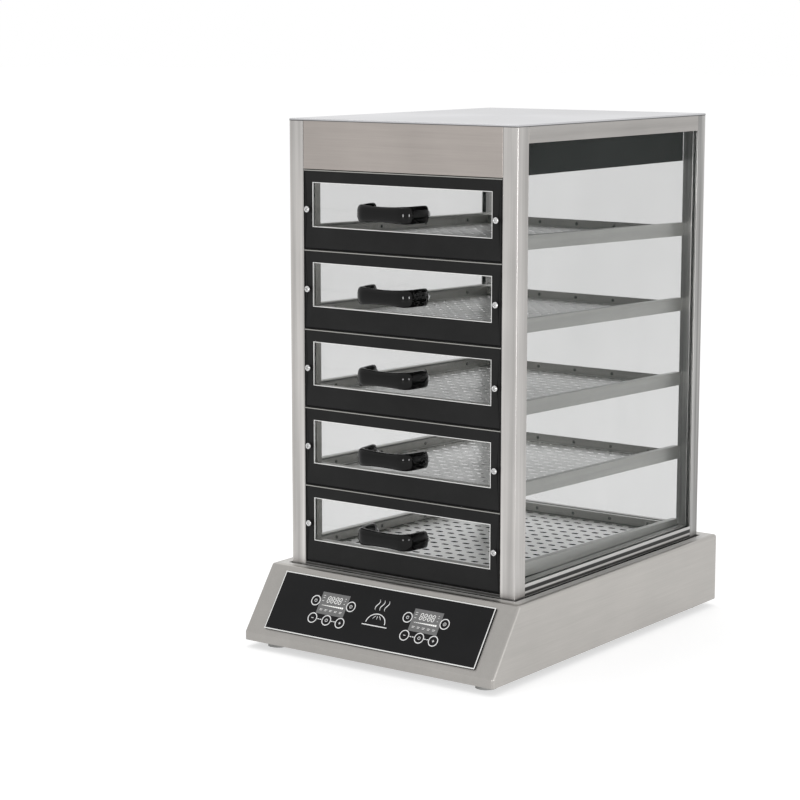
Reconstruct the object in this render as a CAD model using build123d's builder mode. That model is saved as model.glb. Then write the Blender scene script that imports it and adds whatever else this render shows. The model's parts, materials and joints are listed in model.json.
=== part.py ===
"""Counter-top bun steamer: a glass cabinet with five sloping drawers on a heated water base.

Millimetres. X is to the right as one faces the drawers, Y runs to the back, Z is up.
The origin lies on the surface that the feet stand on, below the middle of the whole object.
"""

import math
import os

from build123d import *

os.makedirs("parts", exist_ok=True)

# Base
base_height = 94.0
base_sheet = 1.5
base_bend = 4.0
slope_run = 59.0
lip_height = 11.5
front_ledge = 19.0
side_ledge = 20.5
back_ledge = 23.0
well_depth = 2.5
well_margin = 4.0
deck_seam = 6.0
foot_height = 10.0
foot_radius = 14.0
foot_stem = 4.0
foot_inset = 32.0

# Cabinet
cabinet_width = 360.0
cabinet_depth = 470.0
cabinet_height = 600.0
post_width = 23.0
front_post_depth = 24.0
back_post_depth = 20.0
frame_wall = 1.5
top_rail_height = 20.5
bottom_rail_height = 19.0
bottom_rail_width = 19.0
sill_height = 7.0
sill_depth = 20.0
roof_thickness = 3.0
roof_hem = 8.0
ceiling_sheet = 1.2
glass_thickness = 5.0
glass_setback = 2.0
groove_depth = 8.0

# Drawers and runners
drawer_count = 5
fascia_height = 62.5
drawer_gap = 1.0
side_gap = 0.5
rim_wall = 1.5
panel_thickness = 2.0
panel_setback = 0.4
pane_thickness = 4.0
window_side = 15.0
window_head = 16.6
window_sill = 30.2
reveal_depth = 11.0
slide_slope = 1.6
runner_height = 18.3
runner_sheet = 1.5
runner_lift = 13.1
runner_recess = 2.5
runner_ledge = 13.5
runner_lip = 8.5
tray_play = 4.0
tray_back_gap = 23.0
tray_wall_height = 13.5
tray_sheet = 1.5
tray_ledge = 8.0
floor_sheet = 0.6
slot_length = 22.0
slot_width = 9.0
slot_pitch_x = 40.0
slot_pitch_y = 35.0

# Handle and fixings
handle_width = 94.0
handle_height = 22.5
handle_reach = 41.0
handle_strap = 12.0
handle_taper = 4.0
handle_corner = 16.0
handle_waist = 1.5
handle_round = 4.0
handle_offset = -3.5
handle_centre = 54.5
screw_inset = 7.2
screw_level = 52.6
screw_head_radius = 4.2
screw_head_height = 4.0
screw_radius = 2.0
screw_tail = 4.0
bolt_radius = 2.5
bolt_head_radius = 5.0
bolt_head_height = 3.2
bolt_grip = 10.0

# Control panel on the slope
control_thickness = 2.0
control_side = 30.5
control_top = 8.0
control_foot = 8.4
control_lap = 5.0
control_corner = 3.0
board_lap = 7.0
board_trim = 7.5
board_thickness = 1.6
board_gap = 14.0
standoff_radius = 3.0
standoff_inset = 6.0
display_width = 45.0
display_height = 31.0
display_spacing = 150.0
display_drop = 43.5
relay_width = 19.0
relay_height = 15.0
relay_spacing = 40.0

# Water tank, heaters and probe
tank_margin = 45.0
tank_height = 62.0
tank_sheet = 1.2
tank_corner = 22.0
tank_bottom_bend = 6.0
tank_flange = 14.0
heater_radius = 4.25
heater_gap = 60.0
heater_spread = 44.0
heater_inset = 80.0
heater_lift = 15.0
heater_tail = 14.0
bush_width = 16.0
bush_length = 6.0
terminal_radius = 2.0
terminal_length = 8.0
probe_radius = 3.0
probe_length = 60.0
probe_inset = 40.0
probe_lift = 12.0
probe_nut = 7.0
probe_nut_length = 7.0

# Drain, cable gland and terminal block
drain_inset = 37.0
drain_lift = 11.0
pipe_radius = 7.0
pipe_bore = 5.0
valve_reach = 35.0
valve_radius = 12.0
valve_length = 20.0
spigot_radius = 8.0
spigot_bore_depth = 10.0
boss_radius = 7.5
boss_height = 5.0
stem_radius = 4.0
stem_length = 9.0
lever_length = 44.0
lever_width = 11.0
lever_thickness = 2.5
gland_inset = 70.5
gland_level = 42.0
gland_bore = 4.2
gland_radius = 10.0
gland_thread = 8.0
gland_cap = 16.0
gland_tail = 10.0
nut_radius = 11.5
nut_length = 5.0
block_length = 62.0
block_depth = 24.0
block_height = 20.0
block_setback = 44.0
block_ways = 5

# Clearances: running gaps between bodies, and fits within one body
running = 0.3
fit = 0.2
stem_fit = 0.05

# Levels and edges that follow from the sizes above
base_width = cabinet_width + 2 * side_ledge
base_depth = slope_run + front_ledge + cabinet_depth + back_ledge
base_bottom = foot_height
deck = base_bottom + base_height
well_floor = deck - well_depth
roof_top = well_floor + cabinet_height
frame_top = roof_top - roof_thickness
base_front = -(base_depth + valve_reach) / 2
base_back = base_front + base_depth
base_middle = (base_front + base_back) / 2
deck_front = base_front + slope_run
deck_width = base_width - 2 * deck_seam
deck_depth = base_back - deck_front - 2 * deck_seam
deck_middle = (deck_front + base_back) / 2
cabinet_front = deck_front + front_ledge
cabinet_back = cabinet_front + cabinet_depth
cabinet_middle = (cabinet_front + cabinet_back) / 2
front_post_back = cabinet_front + front_post_depth
back_post_front = cabinet_back - back_post_depth
opening_half = cabinet_width / 2 - post_width
post_centre = cabinet_width / 2 - post_width / 2
rail_length = back_post_front - front_post_back
sill_top = well_floor + sill_height
stack_top = frame_top - fascia_height
drawer_pitch = (stack_top - sill_top - drawer_gap) / drawer_count
top_rail_bottom = frame_top - top_rail_height
bottom_rail_top = well_floor + bottom_rail_height
glass_line = cabinet_width / 2 - glass_setback - glass_thickness / 2
back_glass_line = cabinet_back - back_post_depth / 2
groove_width = glass_thickness + 2 * fit
glass_bottom = bottom_rail_top - groove_depth + fit
glass_top = top_rail_bottom + groove_depth - fit

front_width = 2 * (opening_half - side_gap)
front_height = drawer_pitch - drawer_gap
panel_width = front_width - 2 * (rim_wall + fit)
panel_height = front_height - 2 * (rim_wall + fit)
panel_face = cabinet_front + panel_setback
pane_face = panel_face + panel_thickness
web_face = pane_face + pane_thickness
web_back = web_face + tray_sheet
rim_back = front_post_back - running
window_width = front_width - 2 * window_side
window_height = front_height - window_sill - window_head
window_level = window_sill + window_height / 2
screw_offset = front_width / 2 - screw_inset
bolt_offset = (handle_width - handle_strap) / 2

tilt = math.radians(slide_slope)
tray_lift = runner_sheet + running
floor_lift = tray_lift + tray_sheet
runner_spread = opening_half + runner_recess
tray_width = 2 * (runner_spread - runner_sheet - tray_play)
tray_depth = rail_length - tray_back_gap
tray_inner = tray_width - 2 * tray_sheet
tray_front = -(front_post_back - web_back) / math.cos(tilt)

slope_length = math.hypot(slope_run, base_height - lip_height)
control_width = base_width - 2 * control_side
control_height = slope_length - control_top - control_foot
board_width = control_width + 2 * board_lap
board_height = control_height - 2 * board_trim

tank_width = cabinet_width - 2 * tank_margin
tank_depth = cabinet_depth - 2 * tank_margin
tank_bottom = well_floor - tank_height
tank_front = cabinet_middle - tank_depth / 2
tank_back = cabinet_middle + tank_depth / 2
heater_spacing = tank_width - 2 * heater_inset
probe_offset = tank_width / 2 - probe_inset
drain_offset = drain_inset - tank_width / 2
gland_offset = base_width / 2 - gland_inset
drain_level = tank_bottom + drain_lift
valve_end = base_back + valve_reach
spigot_start = base_back + fit + valve_length
stem_line = base_back + fit + valve_length / 2
boss_top = drain_level + valve_radius + boss_height


def drawer_bottom(level):
    """Height of the lower edge of a drawer's front; level 0 is the lowest drawer."""
    return sill_top + drawer_gap + level * drawer_pitch


def slide_plane(level, lift):
    """Plane that falls to the back with the runners, at a lift above their lowest edge."""
    lowest = Plane(
        origin=(0, front_post_back, drawer_bottom(level) + runner_lift),
        x_dir=(1, 0, 0),
        z_dir=(0, math.sin(tilt), math.cos(tilt)),
    )
    return lowest.offset(lift)


def front_plane(y, height, x=0):
    """Upright plane that faces the user at depth y, with its origin at x and the given height."""
    return Plane(origin=(x, y, height), x_dir=(1, 0, 0), z_dir=(0, -1, 0))


def slope_plane(depth):
    """Plane at a depth below the sloping front, with its origin at the deck's front edge."""
    fall = base_height - lip_height
    skin = Plane(origin=(0, deck_front, deck), x_dir=(1, 0, 0), z_dir=(0, -fall, slope_run))
    return skin.offset(-depth)


def write(piece, name):
    """Name a finished piece and write its file."""
    piece.part.label = name
    export_step(piece.part, f"parts/{name}.step")


def glazed_section(width, depth, groove_at):
    """Draw a hollow frame section whose glass groove opens on its +Y side."""
    toward = math.copysign(1, groove_at)
    groove_edge = groove_at - toward * (groove_width / 2 + frame_wall)
    void_start = -toward * (width / 2 - frame_wall)
    Rectangle(width, depth)
    with Locations((groove_at, (depth - groove_depth) / 2)):
        Rectangle(groove_width, groove_depth, mode=Mode.SUBTRACT)
    with Locations(((groove_edge + void_start) / 2, 0)):
        Rectangle(abs(groove_edge - void_start), depth - 2 * frame_wall, mode=Mode.SUBTRACT)


def turned(origin, direction, outline):
    """Solid turned about a line, from points given as distance along it and radius."""
    with BuildPart() as piece:
        with BuildSketch(Plane(origin=origin, x_dir=direction, z_dir=(1, 0, 0))):
            with BuildLine():
                Polyline(*outline, close=True)
            make_face()
        revolve(axis=Axis(origin, direction))
    return piece.part


def domed_screw(seat, outwards, head_radius, head_height, shank_radius, shank_length):
    """Screw with a rounded head that stands outwards from its seat."""
    with BuildPart() as piece:
        with BuildSketch(Plane(origin=seat, z_dir=outwards)):
            Circle(head_radius)
        extrude(amount=head_height)
        crown = piece.edges().sort_by(Axis(seat, outwards))[-1]
        fillet(crown, radius=0.7 * head_height)
        with BuildSketch(Plane(origin=seat, z_dir=outwards)):
            Circle(shank_radius)
        extrude(amount=-shank_length)
    return piece.part


# Base housing: bent sheet with a sloping front, open below and above
with BuildPart() as base_housing:
    with BuildSketch(Plane.YZ):
        with BuildLine():
            Polyline(
                (base_front, base_bottom),
                (base_front, base_bottom + lip_height),
                (deck_front, deck),
                (base_back, deck),
                (base_back, base_bottom),
                close=True,
            )
        make_face()
    extrude(amount=base_width / 2, both=True)
    bends = base_housing.edges().filter_by_position(Axis.Z, base_bottom + 1, deck)
    fillet(bends, radius=base_bend)
    underside = base_housing.faces().sort_by(Axis.Z)[0]
    offset(amount=-base_sheet, openings=underside)
    with BuildSketch(Plane.XY.offset(deck)):
        with Locations((0, deck_middle)):
            Rectangle(deck_width, deck_depth)
    extrude(amount=-2 * base_sheet, mode=Mode.SUBTRACT)
    with BuildSketch(slope_plane(0)):
        with Locations((0, -control_top - control_height / 2)):
            Rectangle(control_width - 2 * control_lap, control_height - 2 * control_lap)
    extrude(amount=-2 * base_sheet, mode=Mode.SUBTRACT)
    with BuildSketch(front_plane(base_back, 0)):
        with Locations((drain_offset, drain_level)):
            Circle(pipe_radius + fit)
        with Locations((gland_offset, gland_level)):
            Circle(gland_thread + fit)
    extrude(amount=2 * base_sheet, mode=Mode.SUBTRACT)
write(base_housing, "base_housing")

# Deck: a plate let into the housing, with the cabinet's shallow well and the tank's opening
with BuildPart() as base_deck:
    with BuildSketch(Plane.XY.offset(deck)):
        with Locations((0, deck_middle)):
            Rectangle(deck_width, deck_depth)
    extrude(amount=-base_sheet)
    with BuildSketch(Plane.XY.offset(deck)):
        with Locations((0, cabinet_middle)):
            Rectangle(
                cabinet_width + 2 * (well_margin + base_sheet),
                cabinet_depth + 2 * (well_margin + base_sheet),
            )
    extrude(amount=-well_depth - base_sheet)
    with BuildSketch(Plane.XY.offset(deck)):
        with Locations((0, cabinet_middle)):
            Rectangle(cabinet_width + 2 * well_margin, cabinet_depth + 2 * well_margin)
    extrude(amount=-well_depth, mode=Mode.SUBTRACT)
    with BuildSketch(Plane.XY.offset(deck)):
        with Locations((0, cabinet_middle)):
            RectangleRounded(tank_width + 2 * fit, tank_depth + 2 * fit, tank_corner + fit)
    extrude(amount=-well_depth - 2 * base_sheet, mode=Mode.SUBTRACT)
write(base_deck, "base_deck")

# Base plate: closes the housing from below, with stem holes for the feet and a vent grille
foot_x = base_width / 2 - foot_inset
foot_y = base_depth / 2 - foot_inset
with BuildPart() as base_plate:
    with BuildSketch(Plane.XY.offset(base_bottom)):
        with Locations((0, base_middle)):
            RectangleRounded(
                base_width - 2 * (base_sheet + fit),
                base_depth - 2 * (base_sheet + fit),
                base_bend,
            )
            with GridLocations(2 * foot_x, 2 * foot_y, 2, 2):
                Circle(foot_stem + fit, mode=Mode.SUBTRACT)
        with Locations((0, base_front + 2 * foot_inset)):
            with GridLocations(4 * foot_stem, 1, 9, 1):
                SlotOverall(2 * foot_inset / 2, foot_stem, rotation=90, mode=Mode.SUBTRACT)
    extrude(amount=base_sheet)
write(base_plate, "base_plate")

# Rubber feet, pushed through the base plate
with BuildPart() as feet:
    with Locations((0, base_middle, 0)):
        with GridLocations(2 * foot_x, 2 * foot_y, 2, 2):
            Cone(
                foot_radius,
                foot_radius - 2,
                foot_height,
                align=(Align.CENTER, Align.CENTER, Align.MIN),
            )
            Cylinder(
                foot_stem,
                foot_height + 2 * base_sheet,
                align=(Align.CENTER, Align.CENTER, Align.MIN),
            )
write(feet, "feet")

# Control glass, glued on the slope over a smaller cut-out
with BuildPart() as control_glass:
    with BuildSketch(slope_plane(0)):
        with Locations((0, -control_top - control_height / 2)):
            RectangleRounded(control_width, control_height, control_corner)
    extrude(amount=control_thickness)
write(control_glass, "control_glass")

# Control board with its stand-offs and relays, hung behind the slope's sheet
board_middle = -control_top - control_height / 2
with BuildPart() as control_board:
    with BuildSketch(slope_plane(board_gap)):
        with Locations((0, board_middle)):
            Rectangle(board_width, board_height)
    extrude(amount=-board_thickness)
    with BuildSketch(slope_plane(board_gap)):
        with Locations((0, board_middle)):
            with GridLocations(
                board_width - 2 * standoff_inset, board_height - 2 * standoff_inset, 2, 2
            ):
                Circle(standoff_radius)
    extrude(amount=board_gap - base_sheet)
    with BuildSketch(slope_plane(board_gap + board_thickness)):
        with Locations((0, board_middle + relay_height)):
            with GridLocations(relay_spacing, 1, 3, 1):
                Rectangle(relay_width, relay_height)
    extrude(amount=-relay_height)
write(control_board, "control_board")

# Display modules, standing on the board just below the glass
with BuildPart() as display_modules:
    with BuildSketch(slope_plane(board_gap)):
        with Locations((0, -display_drop)):
            with GridLocations(display_spacing, 1, 2, 1):
                Rectangle(display_width, display_height)
    extrude(amount=board_gap - fit)
write(display_modules, "display_modules")

# Water tank: a drawn pan that hangs by its flange in the deck, holed for heaters, probe, drain
heater_level = tank_bottom + heater_lift
probe_level = tank_bottom + probe_lift
with BuildPart() as water_tank:
    with BuildSketch(Plane.XY.offset(tank_bottom)):
        with Locations((0, cabinet_middle)):
            RectangleRounded(tank_width, tank_depth, tank_corner)
    extrude(amount=tank_height)
    fillet(water_tank.edges().group_by(Axis.Z)[0], radius=tank_bottom_bend)
    offset(amount=-tank_sheet, openings=water_tank.faces().sort_by(Axis.Z)[-1])
    with BuildSketch(Plane.XY.offset(well_floor)):
        with Locations((0, cabinet_middle)):
            RectangleRounded(
                tank_width + 2 * tank_flange,
                tank_depth + 2 * tank_flange,
                tank_corner + tank_flange,
            )
            RectangleRounded(
                tank_width - 2 * tank_sheet,
                tank_depth - 2 * tank_sheet,
                tank_corner - tank_sheet,
                mode=Mode.SUBTRACT,
            )
    extrude(amount=tank_sheet)
    with BuildSketch(front_plane(tank_back, heater_level)):
        with GridLocations(heater_spacing, 1, 2, 1):
            with GridLocations(heater_spread, 1, 2, 1):
                Circle(heater_radius + fit)
        with Locations((drain_offset, drain_level - heater_level)):
            Circle(pipe_bore)
    extrude(amount=2 * tank_sheet, mode=Mode.SUBTRACT)
    with BuildSketch(front_plane(tank_front, probe_level)):
        with Locations((probe_offset, 0)):
            Circle(probe_radius + fit)
    extrude(amount=-2 * tank_sheet, mode=Mode.SUBTRACT)
write(water_tank, "water_tank")

# Heating elements: two hairpin tubes with hexagonal bushes and terminal pins behind the tank
with BuildPart() as heating_elements:
    for side in (-1, 1):
        middle = side * heater_spacing / 2
        near = middle - heater_spread / 2
        far = middle + heater_spread / 2
        tip = tank_front + heater_gap
        with BuildLine():
            FilletPolyline(
                (near, tank_back + heater_tail, heater_level),
                (near, tip, heater_level),
                (far, tip, heater_level),
                (far, tank_back + heater_tail, heater_level),
                radius=heater_spread / 2 - 1,
            )
        with BuildSketch(front_plane(tank_back + heater_tail, heater_level)):
            with Locations((near, 0)):
                Circle(heater_radius)
        sweep()
    with BuildSketch(front_plane(tank_back, heater_level)):
        with GridLocations(heater_spacing, 1, 2, 1):
            with GridLocations(heater_spread, 1, 2, 1):
                RegularPolygon(bush_width / 2, 6, major_radius=False)
    extrude(amount=-bush_length)
    with BuildSketch(front_plane(tank_back + heater_tail, heater_level)):
        with GridLocations(heater_spacing, 1, 2, 1):
            with GridLocations(heater_spread, 1, 2, 1):
                Circle(terminal_radius)
    extrude(amount=-terminal_length)
write(heating_elements, "heating_elements")

# Temperature probe, screwed through the tank's front wall
with BuildPart() as temperature_probe:
    add(
        turned(
            (probe_offset, tank_front, probe_level),
            (0, 1, 0),
            [
                (-2 * probe_nut_length, 0),
                (-2 * probe_nut_length, probe_radius),
                (-probe_nut_length, probe_radius),
                (-probe_nut_length, probe_nut),
                (0, probe_nut),
                (0, probe_radius),
                (probe_length, probe_radius),
                (probe_length, 0),
            ],
        )
    )
write(temperature_probe, "temperature_probe")

# Drain: pipe from the tank's back wall through the housing, valve body and hose spigot
with BuildPart() as drain_valve:
    add(
        turned(
            (drain_offset, 0, drain_level),
            (0, 1, 0),
            [
                (tank_back, 0),
                (tank_back, pipe_radius),
                (base_back + fit, pipe_radius),
                (base_back + fit, valve_radius),
                (spigot_start, valve_radius),
                (spigot_start, spigot_radius),
                (valve_end, spigot_radius),
                (valve_end, 0),
            ],
        )
    )
    with BuildSketch(Plane.XY.offset(drain_level)):
        with Locations((drain_offset, stem_line)):
            Circle(boss_radius)
    extrude(amount=boss_top - drain_level)
    with BuildSketch(Plane.XY.offset(boss_top)):
        with Locations((drain_offset, stem_line)):
            Circle(stem_radius + stem_fit)
    extrude(amount=-stem_length - fit, mode=Mode.SUBTRACT)
    with BuildSketch(front_plane(tank_back, drain_level)):
        with Locations((drain_offset, 0)):
            Circle(pipe_bore)
    extrude(amount=-(base_back - tank_back), mode=Mode.SUBTRACT)
    with BuildSketch(front_plane(valve_end, drain_level)):
        with Locations((drain_offset, 0)):
            Circle(pipe_bore)
    extrude(amount=spigot_bore_depth, mode=Mode.SUBTRACT)
write(drain_valve, "drain_valve")

# Drain lever, closed: it lies across the pipe and turns a quarter turn on its stem
with BuildPart() as drain_lever:
    with BuildSketch(Plane.XY.offset(boss_top + running)):
        with Locations((drain_offset + (lever_length - lever_width) / 2, stem_line)):
            SlotOverall(lever_length, lever_width)
    extrude(amount=lever_thickness)
    with BuildSketch(Plane.XY.offset(boss_top + running)):
        with Locations((drain_offset, stem_line)):
            Circle(stem_radius)
    extrude(amount=-stem_length)
write(drain_lever, "drain_lever")

# Cable gland with its lock nut inside the back wall
with BuildPart() as cable_gland:
    add(
        turned(
            (gland_offset, base_back, gland_level),
            (0, 1, 0),
            [
                (-gland_tail, gland_bore),
                (-gland_tail, gland_thread),
                (0, gland_thread),
                (0, gland_radius),
                (gland_cap - 3, gland_radius),
                (gland_cap, gland_radius - 3),
                (gland_cap, gland_bore),
            ],
        )
    )
    add(
        turned(
            (gland_offset, base_back, gland_level),
            (0, 1, 0),
            [
                (-base_sheet, gland_thread + fit),
                (-base_sheet, nut_radius),
                (-base_sheet - nut_length, nut_radius),
                (-base_sheet - nut_length, gland_thread + fit),
            ],
        )
    )
write(cable_gland, "cable_gland")

# Terminal block on the base plate, beside the gland
with BuildPart() as terminal_block:
    with BuildSketch(Plane.XY.offset(base_bottom + base_sheet)):
        with Locations((gland_offset, base_back - block_setback)):
            Rectangle(block_length, block_depth)
    extrude(amount=block_height)
    with BuildSketch(Plane.XY.offset(base_bottom + base_sheet + block_height)):
        with Locations((gland_offset, base_back - block_setback)):
            with GridLocations(block_length / block_ways, 1, block_ways, 1):
                Rectangle(block_length / block_ways - 3, block_depth / 2)
    extrude(amount=-block_height / 2, mode=Mode.SUBTRACT)
write(terminal_block, "terminal_block")

# Front posts: folded sections with a groove for the side glass in their back
with BuildPart() as front_posts:
    with BuildSketch(Plane.XY.offset(well_floor)):
        with Locations((post_centre, cabinet_front + front_post_depth / 2)):
            glazed_section(post_width, front_post_depth, glass_line - post_centre)
    extrude(amount=frame_top - well_floor)
    mirror(about=Plane.YZ)
write(front_posts, "front_posts")

# Back posts: grooves for the side glass in front and for the back glass inside
with BuildPart() as back_posts:
    with BuildSketch(Plane.XY.offset(well_floor)):
        with Locations((post_centre, back_glass_line)):
            Rectangle(post_width, back_post_depth)
            with Locations((glass_line - post_centre, (groove_depth - back_post_depth) / 2)):
                Rectangle(groove_width, groove_depth, mode=Mode.SUBTRACT)
            with Locations(((groove_depth - post_width) / 2, 0)):
                Rectangle(groove_depth, groove_width, mode=Mode.SUBTRACT)
            with Locations((groove_depth / 2, groove_depth / 2)):
                Rectangle(
                    post_width - groove_depth - 2 * frame_wall,
                    back_post_depth - groove_depth - 2 * frame_wall,
                    mode=Mode.SUBTRACT,
                )
    extrude(amount=frame_top - well_floor)
    mirror(about=Plane.YZ)
write(back_posts, "back_posts")

# Top rails, left, right and back, with their glass grooves below
top_rail_middle = frame_top - top_rail_height / 2
with BuildPart() as top_rails:
    with BuildSketch(
        Plane(
            origin=(post_centre, front_post_back, top_rail_middle),
            x_dir=(-1, 0, 0),
            z_dir=(0, -1, 0),
        )
    ):
        glazed_section(post_width, top_rail_height, post_centre - glass_line)
    extrude(amount=-rail_length)
    mirror(about=Plane.YZ)
    with BuildSketch(
        Plane(origin=(0, back_glass_line, top_rail_middle), x_dir=(0, -1, 0), z_dir=(1, 0, 0))
    ):
        Rectangle(back_post_depth, top_rail_height)
        with Locations((0, (top_rail_height - groove_depth) / 2)):
            Rectangle(groove_width, groove_depth, mode=Mode.SUBTRACT)
    extrude(amount=opening_half, both=True)
write(top_rails, "top_rails")

# Bottom rails with their glass grooves above, and the low front sill
bottom_rail_middle = well_floor + bottom_rail_height / 2
bottom_rail_line = cabinet_width / 2 - bottom_rail_width / 2
with BuildPart() as bottom_rails:
    with BuildSketch(
        Plane(
            origin=(bottom_rail_line, front_post_back, bottom_rail_middle),
            x_dir=(1, 0, 0),
            z_dir=(0, -1, 0),
        )
    ):
        glazed_section(bottom_rail_width, bottom_rail_height, glass_line - bottom_rail_line)
    extrude(amount=-rail_length)
    mirror(about=Plane.YZ)
    with BuildSketch(
        Plane(origin=(0, back_glass_line, bottom_rail_middle), x_dir=(0, 1, 0), z_dir=(1, 0, 0))
    ):
        Rectangle(back_post_depth, bottom_rail_height)
        with Locations((0, (bottom_rail_height - groove_depth) / 2)):
            Rectangle(groove_width, groove_depth, mode=Mode.SUBTRACT)
    extrude(amount=opening_half, both=True)
    with BuildSketch(Plane.YZ):
        with Locations((cabinet_front + sill_depth / 2, well_floor + sill_height / 2)):
            Rectangle(sill_depth, sill_height)
            with Locations((0, -frame_wall)):
                Rectangle(sill_depth - 2 * frame_wall, sill_height, mode=Mode.SUBTRACT)
    extrude(amount=opening_half, both=True)
write(bottom_rails, "bottom_rails")

# Front fascia: a folded channel between the posts, above the drawers
fascia_depth = front_post_depth - panel_setback
with BuildPart() as front_fascia:
    with BuildSketch(Plane.YZ):
        with Locations((panel_face + fascia_depth / 2, (stack_top + frame_top) / 2)):
            Rectangle(fascia_depth, frame_top - stack_top)
            with Locations((frame_wall, 0)):
                Rectangle(
                    fascia_depth, frame_top - stack_top - 2 * frame_wall, mode=Mode.SUBTRACT
                )
    extrude(amount=opening_half, both=True)
write(front_fascia, "front_fascia")

# Roof panel: sheet with a hemmed edge, lying on the frame
with BuildPart() as roof_panel:
    with BuildSketch(Plane.XY.offset(frame_top)):
        with Locations((0, cabinet_middle)):
            Rectangle(cabinet_width, cabinet_depth)
    extrude(amount=roof_thickness)
    fillet(roof_panel.edges().group_by(Axis.Z)[-1], radius=roof_thickness / 3)
    with BuildSketch(Plane.XY.offset(frame_top)):
        with Locations((0, cabinet_middle)):
            Rectangle(cabinet_width - 2 * roof_hem, cabinet_depth - 2 * roof_hem)
    extrude(amount=roof_thickness / 2, mode=Mode.SUBTRACT)
write(roof_panel, "roof_panel")

# Ceiling pan: a dark tray open at the top, hung between the top rails above the drawers
with BuildPart() as ceiling_pan:
    with BuildSketch(Plane.XY.offset(stack_top)):
        with Locations((0, (front_post_back + back_post_front) / 2)):
            Rectangle(2 * (opening_half - fit), rail_length - 2 * fit)
    extrude(amount=frame_top - stack_top)
    offset(amount=-ceiling_sheet, openings=ceiling_pan.faces().sort_by(Axis.Z)[-1])
write(ceiling_pan, "ceiling_pan")

# Glass: two sides and the back, standing in the grooves of posts and rails
for name, side in (("left_glass", -1), ("right_glass", 1)):
    with BuildPart() as side_glass:
        with BuildSketch(Plane.XY.offset(glass_bottom)):
            with Locations((side * glass_line, (front_post_back + back_post_front) / 2)):
                Rectangle(glass_thickness, rail_length + 2 * (groove_depth - fit))
        extrude(amount=glass_top - glass_bottom)
    write(side_glass, name)

with BuildPart() as back_glass:
    with BuildSketch(Plane.XY.offset(glass_bottom)):
        with Locations((0, back_glass_line)):
            Rectangle(2 * (opening_half + groove_depth - fit), glass_thickness)
    extrude(amount=glass_top - glass_bottom)
write(back_glass, "back_glass")

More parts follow.
